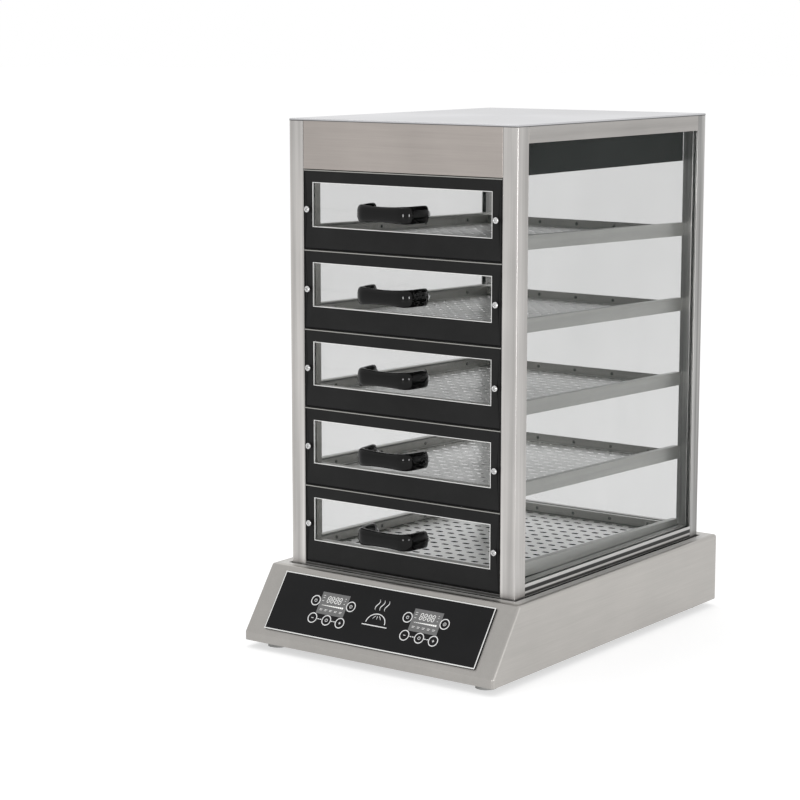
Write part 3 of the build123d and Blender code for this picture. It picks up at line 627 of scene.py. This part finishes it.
def floor_sheet(level):
    """Matrix from the front edge of a tray floor's upper face: X across, Y along the slide.

    With it come the sheet's half width, length and thickness.
    """
    joint = next(j for j in frame["joints"] if j["child"] == f"drawer_{level}")
    across = Vector((1, 0, 0))
    back = -Vector(joint["axis"]).normalized()
    turn = Matrix((across, back, across.cross(back))).transposed()
    vertices = frame["nodes"][f"tray_floor_{level}"].data.vertices
    points = [turn.transposed() @ v.co for v in vertices]
    bottom = min(p.z for p in points)
    top = max(p.z for p in points)
    start = Vector((0, min(p.y for p in points), top))
    low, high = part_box(f"tray_floor_{level}")
    basis = Matrix.Translation(turn @ start) @ turn.to_4x4()
    return basis, high.x, (high.y - low.y) / back.y, top - bottom


def slot_outline():
    """Points of a slot with round ends, anticlockwise, about its own centre."""
    points = []
    radius = SLOT_WIDTH / 2
    for end in (1, -1):
        middle = end * (SLOT_LENGTH - SLOT_WIDTH) / 2
        for step in range(SLOT_STEPS + 1):
            angle = math.pi * (step / SLOT_STEPS - end / 2)
            points.append((middle + radius * math.cos(angle), radius * math.sin(angle)))
    return points


def cell_outline():
    """Points on a cell's two sides that match the slot's round ends one by one."""
    points = []
    for end in (1, -1):
        for step in range(SLOT_STEPS + 1):
            points.append((end * PITCH_X / 2, end * (step / SLOT_STEPS - 0.5) * PITCH_Y))
    return points


def slotted_sheet(half_width, length):
    """Flat sheet with its full pattern of slots, front edge on the X axis."""
    slot = slot_outline()
    cell = cell_outline()
    edge = COLUMNS * PITCH_X / 2
    rows = [FIRST_ROW + row * PITCH_Y for row in range(ROWS)]
    columns = [(column + 0.5) * PITCH_X - edge for column in range(COLUMNS)]
    shape = bmesh.new()

    def quad(*corners):
        shape.faces.new([shape.verts.new((x, y, 0)) for x, y in corners])

    for y in rows:
        for x in columns:
            for i in range(len(slot)):
                j = (i + 1) % len(slot)
                quad(*((x + a, y + b) for a, b in (cell[i], cell[j], slot[j], slot[i])))
        for (_, a), (_, b) in zip(cell[:SLOT_STEPS], cell[1:]):
            quad((edge, y + a), (half_width, y + a), (half_width, y + b), (edge, y + b))
            quad((-half_width, y + a), (-edge, y + a), (-edge, y + b), (-half_width, y + b))
    field_start = rows[0] - PITCH_Y / 2
    field_end = rows[-1] + PITCH_Y / 2
    sides = [x - PITCH_X / 2 for x in columns]
    sides = [-half_width, *sides, edge, half_width]
    for a, b in zip(sides, sides[1:]):
        quad((a, 0), (b, 0), (b, field_start), (a, field_start))
        quad((a, field_end), (b, field_end), (b, length), (a, length))
    bmesh.ops.remove_doubles(shape, verts=shape.verts, dist=2e-6)
    return shape


def perforated_floor(level):
    """Floor sheet with its slots, on the place of the plain CAD sheet."""
    basis, half_width, length, thickness = floor_sheet(level)
    shape = slotted_sheet(half_width, length)
    bmesh.ops.recalc_face_normals(shape, faces=shape.faces)
    shape.faces.ensure_lookup_table()
    if shape.faces[0].normal.z < 0:
        bmesh.ops.reverse_faces(shape, faces=shape.faces)
    bmesh.ops.solidify(shape, geom=shape.faces[:], thickness=thickness)
    top = max(v.co.z for v in shape.verts)
    bmesh.ops.translate(shape, verts=shape.verts, vec=(0, 0, -top))
    bmesh.ops.transform(shape, matrix=basis, verts=shape.verts)
    # The lowest floor takes the finish with painted shade on its slot walls
    finish = FINISH["low_floor" if level == 1 else "floor"]
    piece = object_from(shape, f"perforated_floor_{level}", finish)
    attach(piece, f"drawer_{level}")
    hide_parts(f"tray_floor_{level}")


def crowned_section(width, height, power=2.7, steps=32):
    """Softly squared oval as (across, up) points."""
    points = []
    for step in range(steps):
        angle = 2 * math.pi * step / steps
        cosine, sine = math.cos(angle), math.sin(angle)
        points.append((
            math.copysign(width / 2 * abs(cosine) ** (2 / power), cosine),
            math.copysign(height / 2 * abs(sine) ** (2 / power), sine),
        ))
    return points


def bow_path(half_foot, half_grip, reach, corner, leg_steps=4, turn_steps=10, grip_steps=10):
    """Centre line of the bow as (x, y) points: out from the pane, across, and back."""
    leg = Vector((half_foot - half_grip, reach)).normalized()
    turn = math.pi / 2 - math.asin(leg.x)
    cut = corner * math.tan(turn / 2)
    start = Vector((-half_foot, 0))
    bend = Vector((-half_grip, -reach))
    arc_start = bend - Vector((leg.x, -leg.y)) * cut
    centre = arc_start + Vector((leg.y, leg.x)) * corner
    first = math.atan2(*(arc_start - centre).yx)
    left = [start.lerp(arc_start, i / leg_steps) for i in range(leg_steps)]
    for i in range(turn_steps + 1):
        angle = first + turn * i / turn_steps
        left.append(centre + corner * Vector((math.cos(angle), math.sin(angle))))
    right = [Vector((-p.x, p.y)) for p in reversed(left)]
    middle = [left[-1].lerp(right[0], i / grip_steps) for i in range(1, grip_steps)]
    return left + middle + right


def tube_faces(rings, count):
    """Faces of a tube made of rings with count points each, both ends filled."""
    faces = []
    for ring in range(rings - 1):
        start = ring * count
        for step in range(count):
            following = (step + 1) % count
            faces.append((
                start + step,
                start + following,
                start + count + following,
                start + count + step,
            ))
    faces.append(tuple(range(count)))
    faces.append(tuple(range((rings - 1) * count, rings * count)))
    return faces


def bow_handle(level):
    """Glossy bow handle: one rounded strap that is waisted along its grip."""
    low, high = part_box(f"handle_{level}")
    centre = (low + high) / 2
    half_foot = (high.x - low.x - STRAP) / 2
    reach = high.y - low.y - STRAP / 2
    path = bow_path(half_foot, half_foot - TAPER, reach, HANDLE_CORNER)
    section = crowned_section(STRAP, high.z - low.z)
    vertices = []
    for i, point in enumerate(path):
        before = path[max(i - 1, 0)]
        after = path[min(i + 1, len(path) - 1)]
        along = (after - before).normalized()
        if i == 0:
            along = Vector((0, -1))
        if i == len(path) - 1:
            along = Vector((0, 1))
        across = Vector((-along.y, along.x))
        share = max(0.0, 1 - (abs(point.x) / (half_foot - WAIST_ENDS)) ** 2)
        squeeze = 1 - WAIST * share
        for a, b in section:
            vertices.append((
                centre.x + point.x + across.x * a,
                high.y + point.y + across.y * a,
                centre.z + b * squeeze,
            ))
    faces = tube_faces(len(path), len(section))
    piece = mesh_object(f"bow_handle_{level}", vertices, faces, FINISH["handle"], True)
    recalculate(piece)
    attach(piece, f"drawer_{level}")
    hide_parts(f"handle_{level}")


def lathe(outline, steps=28):
    """Mesh lists for an outline of (along, radius) points turned about -Y, closed on the axis."""
    vertices = []
    for along, radius in outline:
        for step in range(steps):
            angle = 2 * math.pi * step / steps
            vertices.append((radius * math.cos(angle), -along, radius * math.sin(angle)))
    return vertices, tube_faces(len(outline), steps)


def cross_tool(top):
    """Solid cross that cuts into a head whose top stands out along -Y by that much."""
    arm, slit = CROSS_ARM, CROSS_HALF_WIDTH
    cross = [
        (arm, slit), (slit, slit), (slit, arm), (-slit, arm), (-slit, slit), (-arm, slit),
        (-arm, -slit), (-slit, -slit), (-slit, -arm), (slit, -arm), (slit, -slit), (arm, -slit),
    ]
    vertices = [(x, y - top, z) for y in (-CROSS_CLEAR, CROSS_DEPTH) for x, z in cross]
    tool = mesh_object("recess", vertices, tube_faces(2, len(cross)), FINISH["chrome"])
    recalculate(tool)
    return tool


def cross_headed(name, outline, place, material):
    """Screw head with a cross recess, cut from a turned shape."""
    vertices, faces = lathe([(a * MM, r * MM) for a, r in outline])
    head = mesh_object(name, vertices, faces, material, True)
    recalculate(head)
    tool = cross_tool(max(a for a, _ in outline) * MM)
    cut = head.modifiers.new("recess", "BOOLEAN")
    cut.object = tool
    cut.solver = "EXACT"
    bpy.context.view_layer.update()
    depsgraph = bpy.context.evaluated_depsgraph_get()
    result = bpy.data.meshes.new_from_object(head.evaluated_get(depsgraph))
    head.modifiers.clear()
    head.data = result
    bpy.data.objects.remove(tool)
    head.data.transform(place)
    return head


def drawer_fixings(level):
    """Two proud side screws and the handle's two bolt heads behind the pane."""
    low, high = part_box(f"fixings_{level}")
    panel_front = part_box(f"front_panel_{level}")[0].y
    pane_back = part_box(f"window_{level}")[1].y
    handle_low, handle_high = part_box(f"handle_{level}")
    grip = (handle_low + handle_high) / 2
    screw_x = high.x - CAD_SCREW_RADIUS
    screw_z = low.z + CAD_SCREW_RADIUS
    bolt_x = (handle_high.x - handle_low.x - STRAP) / 2
    turned_back = Matrix.Rotation(math.pi, 4, "Z")
    joined = bmesh.new()
    for side in (-1, 1):
        turn = side * SCREW_TURN + level * TURN_PER_LEVEL
        spot = Matrix.Translation((side * screw_x, panel_front, screw_z))
        screw = spot @ Matrix.Rotation(turn, 4, "Y")
        spot = Matrix.Translation((grip.x + side * bolt_x, pane_back, grip.z))
        bolt = spot @ turned_back
        for outline, place in ((SCREW_OUTLINE, screw), (BOLT_OUTLINE, bolt)):
            head = cross_headed("head", outline, place, FINISH["chrome"])
            joined.from_mesh(head.data)
            bpy.data.objects.remove(head)
    piece = object_from(joined, f"screws_{level}", FINISH["chrome"])
    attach(piece, f"drawer_{level}")
    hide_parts(f"fixings_{level}")


def tray_rivets(level):
    """Low rivet heads along the tray's back and side walls, on their inner faces."""
    basis, half_width, length, _ = floor_sheet(level)
    spots = []
    for index in range(BACK_RIVETS):
        across = (index - (BACK_RIVETS - 1) / 2) * BACK_RIVET_PITCH
        spots.append((Vector((across, length, RIVET_HEIGHT)), Vector((0, -1, 0))))
    for index in range(SIDE_RIVETS):
        along = length * (index + 0.5) / SIDE_RIVETS
        for side in (1, -1):
            spots.append((Vector((side * half_width, along, RIVET_HEIGHT)), Vector((-side, 0, 0))))
    squash = Matrix.Diagonal((1, 1, RIVET_FLATNESS, 1))
    shape = bmesh.new()
    for spot, outwards in spots:
        turn = Vector((0, 0, 1)).rotation_difference(outwards).to_matrix().to_4x4()
        made = bmesh.ops.create_uvsphere(shape, u_segments=14, v_segments=8, radius=RIVET_RADIUS)
        place = basis @ Matrix.Translation(spot) @ turn @ squash
        bmesh.ops.transform(shape, matrix=place, verts=made["verts"])
    for face in shape.faces:
        face.smooth = True
    piece = object_from(shape, f"tray_rivets_{level}", FINISH["rivet"])
    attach(piece, f"drawer_{level}")


def panel_opening(level):
    """Half width, bottom and top of the window's opening, found on the black panel's mesh."""
    low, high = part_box(f"front_panel_{level}")
    points = [v.co for v in frame["nodes"][f"front_panel_{level}"].data.vertices]
    half = max(
        p.x for p in points
        if low.z + PANEL_MARGIN < p.z < high.z - PANEL_MARGIN and p.x < high.x - PANEL_MARGIN
    )
    heights = [p.z for p in points if abs(abs(p.x) - half) < 0.1 * MM]
    return half, min(heights), max(heights)


def window_trim(level):
    """Thin bright bead around the window's opening in the black panel."""
    half, bottom, top = panel_opening(level)
    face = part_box(f"front_panel_{level}")[0].y
    section = (
        (-TRIM_LAP, face + TRIM_DEPTH),
        (-TRIM_LAP, face - TRIM_PROUD),
        (TRIM_FACE - TRIM_LAP, face - TRIM_PROUD),
        (TRIM_FACE - TRIM_LAP, face),
    )
    vertices = []
    for out, y in section:
        x = half + out
        low = bottom - out
        high = top + out
        vertices += [(-x, y, low), (x, y, low), (x, y, high), (-x, y, high)]
    faces = []
    for ring in range(len(section)):
        following = (ring + 1) % len(section)
        for corner in range(4):
            other = (corner + 1) % 4
            faces.append((
                4 * ring + corner, 4 * ring + other, 4 * following + other, 4 * following + corner
            ))
    piece = mesh_object(f"window_trim_{level}", vertices, faces, FINISH["trim"])
    recalculate(piece)
    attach(piece, f"drawer_{level}")


class Print:
    """Flat shapes on the control glass, in millimetres across and down from its upper edge."""

    def __init__(self, lift):
        low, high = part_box("control_glass")
        mesh = frame["nodes"]["control_glass"].data
        ahead = [face for face in mesh.polygons if face.normal.y < -0.5 < face.normal.z]
        self.out = max(ahead, key=lambda face: face.area).normal.normalized()
        self.across = Vector((1, 0, 0))
        self.up = self.out.cross(self.across)
        centre = (low + high) / 2
        reach = max((v.co - centre).dot(self.up) for v in mesh.vertices)
        depth = max((v.co - centre).dot(self.out) for v in mesh.vertices)
        self.origin = centre + self.up * reach + self.out * (depth + lift * MM)
        self.height = 2 * reach / MM
        self.width = (high.x - low.x) / MM
        self.vertices = []
        self.faces = []

    def place(self, u, v):
        """Point at u across and v down."""
        return self.origin + self.across * (u * MM) - self.up * (v * MM)

    def shape(self, points):
        """Filled polygon."""
        start = len(self.vertices)
        self.vertices += [self.place(u, v) for u, v in points]
        self.faces.append(tuple(range(start, start + len(points))))

    def bar(self, u, v, width, height, lean=0.0):
        """Rectangle about its centre, leaning to the right by lean."""
        self.shape([
            (u - width / 2 - lean, v + height / 2),
            (u + width / 2 - lean, v + height / 2),
            (u + width / 2 + lean, v - height / 2),
            (u - width / 2 + lean, v - height / 2),
        ])

    def ring(self, u, v, outer, inner, steps=36):
        """Annulus."""
        for i in range(steps):
            a = 2 * math.pi * i / steps
            b = 2 * math.pi * (i + 1) / steps
            self.shape([
                (u + inner * math.cos(a), v + inner * math.sin(a)),
                (u + outer * math.cos(a), v + outer * math.sin(a)),
                (u + outer * math.cos(b), v + outer * math.sin(b)),
                (u + inner * math.cos(b), v + inner * math.sin(b)),
            ])

    def ribbon(self, points, widths):
        """Line of changing width through the points."""
        sides = []
        for i, (u, v) in enumerate(points):
            before = Vector(points[max(i - 1, 0)])
            after = Vector(points[min(i + 1, len(points) - 1)])
            along = (after - before).normalized()
            side = Vector((-along.y, along.x)) * widths[i] / 2
            sides.append(((u - side.x, v - side.y), (u + side.x, v + side.y)))
        for (a, b), (c, d) in zip(sides, sides[1:]):
            self.shape([a, b, d, c])

    def finish(self, name, material, slot):
        """Make the object and put it on the cabinet."""
        piece = mesh_object(name, self.vertices, self.faces, material)
        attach(piece, "cabinet")


def digit_eight(ink, u, v):
    """Seven leaning segments, all lit."""
    for across, down, form in SEGMENTS:
        centre = u + across * DIGIT_WIDTH - down * DIGIT_LEAN
        middle = v + down * DIGIT_HEIGHT
        if form == "flat":
            ink.bar(centre, middle, DIGIT_WIDTH * 0.72, STROKE)
        else:
            ink.bar(centre, middle, STROKE, DIGIT_HEIGHT * 0.4, 0.3)


def display_marks(marks, middle, top):
    """Short lines beside the digits, a rising row of bars and five pairs of lines below."""
    for down in SIDE_MARKS_DOWN:
        marks.bar(middle - 18, top + down, 3.2, 0.5)
        marks.bar(middle + 17, top + down, 2.0, 0.5)
    for index in range(LEVEL_BARS):
        marks.bar(middle - 16.5 + 3 * index, top + 18.5, 2.5, 0.6 + 0.16 * index)
    for index in range(LOWER_MARKS):
        left = middle - 16 + 8 * index
        marks.bar(left, top + 24.2, 4.6, 0.5)
        marks.bar(left - 0.6, top + 25.8, 3.4, 0.5)


def key_sign(ink, u, v, sign):
    """Small plain sign in a key's ring."""
    if sign == "timer":
        ink.ring(u, v, 2.2, 1.6, 20)
        ink.bar(u, v - 1.2, 0.6, 2.0)
    elif sign == "power":
        ink.ring(u, v, 2.4, 1.8, 20)
        ink.bar(u, v, 0.6, 2.2)
    elif sign == "round":
        ink.ring(u, v, 2.2, 1.5, 20)
    else:
        ink.bar(u, v, 3.4, 0.9)
    if sign == "plus":
        ink.bar(u, v, 0.9, 3.4)


def display_group(ink, digits, glow, middle):
    """One display with its digits and marks, and the five ring keys around it."""
    top = DISPLAY_TOP
    glow.bar(middle, top + DISPLAY_HEIGHT / 2, DISPLAY_WIDTH, DISPLAY_HEIGHT)
    for offset in DIGIT_OFFSETS:
        digit_eight(digits, middle + offset, top + DIGIT_DOWN)
    for down in COLON_DOWN:
        digits.bar(middle, top + down, 0.9, 0.9)
    display_marks(digits, middle, top)
    for across, down, sign in KEYS:
        ink.ring(middle + across, top + down, RING_OUTER, RING_INNER)
        key_sign(ink, middle + across, top + down, sign)
    lower = [across for across, down, _ in KEYS if down > DISPLAY_HEIGHT]
    for start, end in zip(lower, lower[1:]):
        for offset in DASH_OFFSETS:
            ink.bar(middle + (start + end) / 2 + offset, top + DASH_DOWN, 2.8, 1.1)


def steam_mark(ink):
    """Three wavy lines of steam over a plain half-round bun."""
    shares = [step / MARK_STEPS for step in range(MARK_STEPS + 1)]
    for index in range(WAVES):
        centre = (index - (WAVES - 1) / 2) * WAVE_PITCH
        points = []
        for share in shares:
            swing = WAVE_SWING * math.sin(2 * math.pi * share)
            lean = WAVE_LEAN * (1 - share)
            points.append((centre + swing + lean, WAVE_TOP + WAVE_HEIGHT * share))
        ink.ribbon(points, [0.35 + math.sin(math.pi * share) for share in shares])
    dome = []
    for share in shares:
        angle = math.pi * share
        across = -BUN_HALF_WIDTH * math.cos(angle)
        dome.append((across, BUN_FOOT - BUN_HEIGHT * math.sin(angle)))
    ink.ribbon(dome, [MARK_LINE] * len(dome))
    plate = [(-PLATE_HALF_WIDTH, PLATE_DOWN), (PLATE_HALF_WIDTH, PLATE_DOWN)]
    ink.ribbon(plate, [MARK_LINE, MARK_LINE])
    for offset in (-5, 0, 5):
        pleat = [(offset * 0.5, 39.5), (offset, 42.0), (offset * 1.25, 44.5)]
        ink.ribbon(pleat, [0.5, 0.9, 0.4])


def panel_border():
    """Bright line around the black glass."""
    border = Print(BORDER_LIFT)
    inset = BORDER_WIDTH / 2 + BORDER_INSET
    half = border.width / 2 - inset
    top = inset
    bottom = border.height - inset
    for down in (top, bottom):
        border.bar(0, down, 2 * half + BORDER_WIDTH, BORDER_WIDTH)
    for across in (-half, half):
        border.bar(across, (top + bottom) / 2, BORDER_WIDTH, bottom - top - BORDER_WIDTH)
    border.finish("panel_border", FINISH["trim"], "control_black")


def panel_print():
    """Displays, keys and the steam mark on the black glass."""
    ink = Print(INK_LIFT)
    digits = Print(DIGIT_LIFT)
    glow = Print(FIELD_LIFT)
    for middle in (-DISPLAY_OFFSET, DISPLAY_OFFSET):
        display_group(ink, digits, glow, middle)
    steam_mark(ink)
    ink.finish("panel_print", FINISH["ink"], "control_black")
    digits.finish("display_digits", FINISH["digit"], "control_black")
    glow.finish("display_fields", FINISH["glow"], "control_black")


def add_camera():
    """Long lens from the right front, slightly above the cabinet's middle."""
    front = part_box("front_posts")[0].y
    data = bpy.data.cameras.new("camera")
    data.lens = LENS
    data.sensor_width = SENSOR
    camera = add_object("camera", data)
    camera.location = (CAMERA_RIGHT, front - CAMERA_AHEAD, CAMERA_HEIGHT)
    camera.rotation_euler = (math.pi / 2 - PITCH, 0, YAW)
    bpy.context.scene.camera = camera


def seen_directly(tree):
    """1 for rays from the camera, off glossy surfaces and through glass."""
    path = tree.nodes.new("ShaderNodeLightPath")
    largest = path.outputs["Is Camera Ray"]
    for other in ("Is Glossy Ray", "Is Transmission Ray"):
        largest = calculate(tree, "MAXIMUM", largest, path.outputs[other])
    return largest


def shown_and_lit(tree, output, shown, lit):
    """Use one shader where it is seen directly, and the other for the light on matt surfaces."""
    mix = tree.nodes.new("ShaderNodeMixShader")
    tree.links.new(seen_directly(tree), mix.inputs["Fac"])
    tree.links.new(lit.outputs[0], mix.inputs[1])
    tree.links.new(shown.outputs[0], mix.inputs[2])
    tree.links.new(mix.outputs[0], output.inputs["Surface"])


def add_floor():
    """Plain white floor that keeps the object's soft shadow."""
    end = FLOOR_REACH
    corners = ((-end, -end, 0), (end, -end, 0), (end, end, 0), (-end, end, 0))
    material = bpy.data.materials.new("studio_floor")
    material.use_nodes = True
    tree = material.node_tree
    tree.nodes.clear()
    output = tree.nodes.new("ShaderNodeOutputMaterial")
    matt = tree.nodes.new("ShaderNodeBsdfDiffuse")
    matt.inputs["Color"].default_value = grey(FLOOR_MATT)
    shaded = tree.nodes.new("ShaderNodeBsdfDiffuse")
    shaded.inputs["Color"].default_value = grey(FLOOR_SHADED)
    glow = tree.nodes.new("ShaderNodeEmission")
    glow.inputs["Strength"].default_value = FLOOR_GLOW
    both = tree.nodes.new("ShaderNodeAddShader")
    tree.links.new(shaded.outputs[0], both.inputs[0])
    tree.links.new(glow.outputs[0], both.inputs[1])
    shown_and_lit(tree, output, both, matt)
    floor = mesh_object("studio_floor", corners, [(0, 1, 2, 3)], material)
    floor.location.z = -FLOOR_DROP


def add_world():
    """Plain white surroundings; only the light on matt surfaces is a little lower."""
    world = bpy.data.worlds.new("studio")
    bpy.context.scene.world = world
    world.use_nodes = True
    tree = world.node_tree
    tree.nodes.clear()
    output = tree.nodes.new("ShaderNodeOutputWorld")
    plain = tree.nodes.new("ShaderNodeBackground")
    plain.inputs["Color"].default_value = grey(1)
    around = tree.nodes.new("ShaderNodeBackground")
    around.inputs["Color"].default_value = grey(WORLD_LEVEL)
    shown_and_lit(tree, output, plain, around)


def add_softbox(name, place, aim, side, power):
    """Soft square lamp that points at a place."""
    data = bpy.data.lights.new(name, "AREA")
    data.shape = "SQUARE"
    data.size = side
    data.energy = power
    lamp = add_object(name, data)
    lamp.location = place
    lamp.rotation_euler = (Vector(aim) - Vector(place)).to_track_quat("-Z", "Y").to_euler()


dress_cad_nodes()
for drawer in LEVELS:
    perforated_floor(drawer)
    bow_handle(drawer)
    drawer_fixings(drawer)
    tray_rivets(drawer)
    window_trim(drawer)
panel_print()
panel_border()
add_floor()
add_world()
for lamp in LAMPS:
    add_softbox(*lamp)
add_camera()
bpy.context.scene.view_settings.view_transform = "Standard"
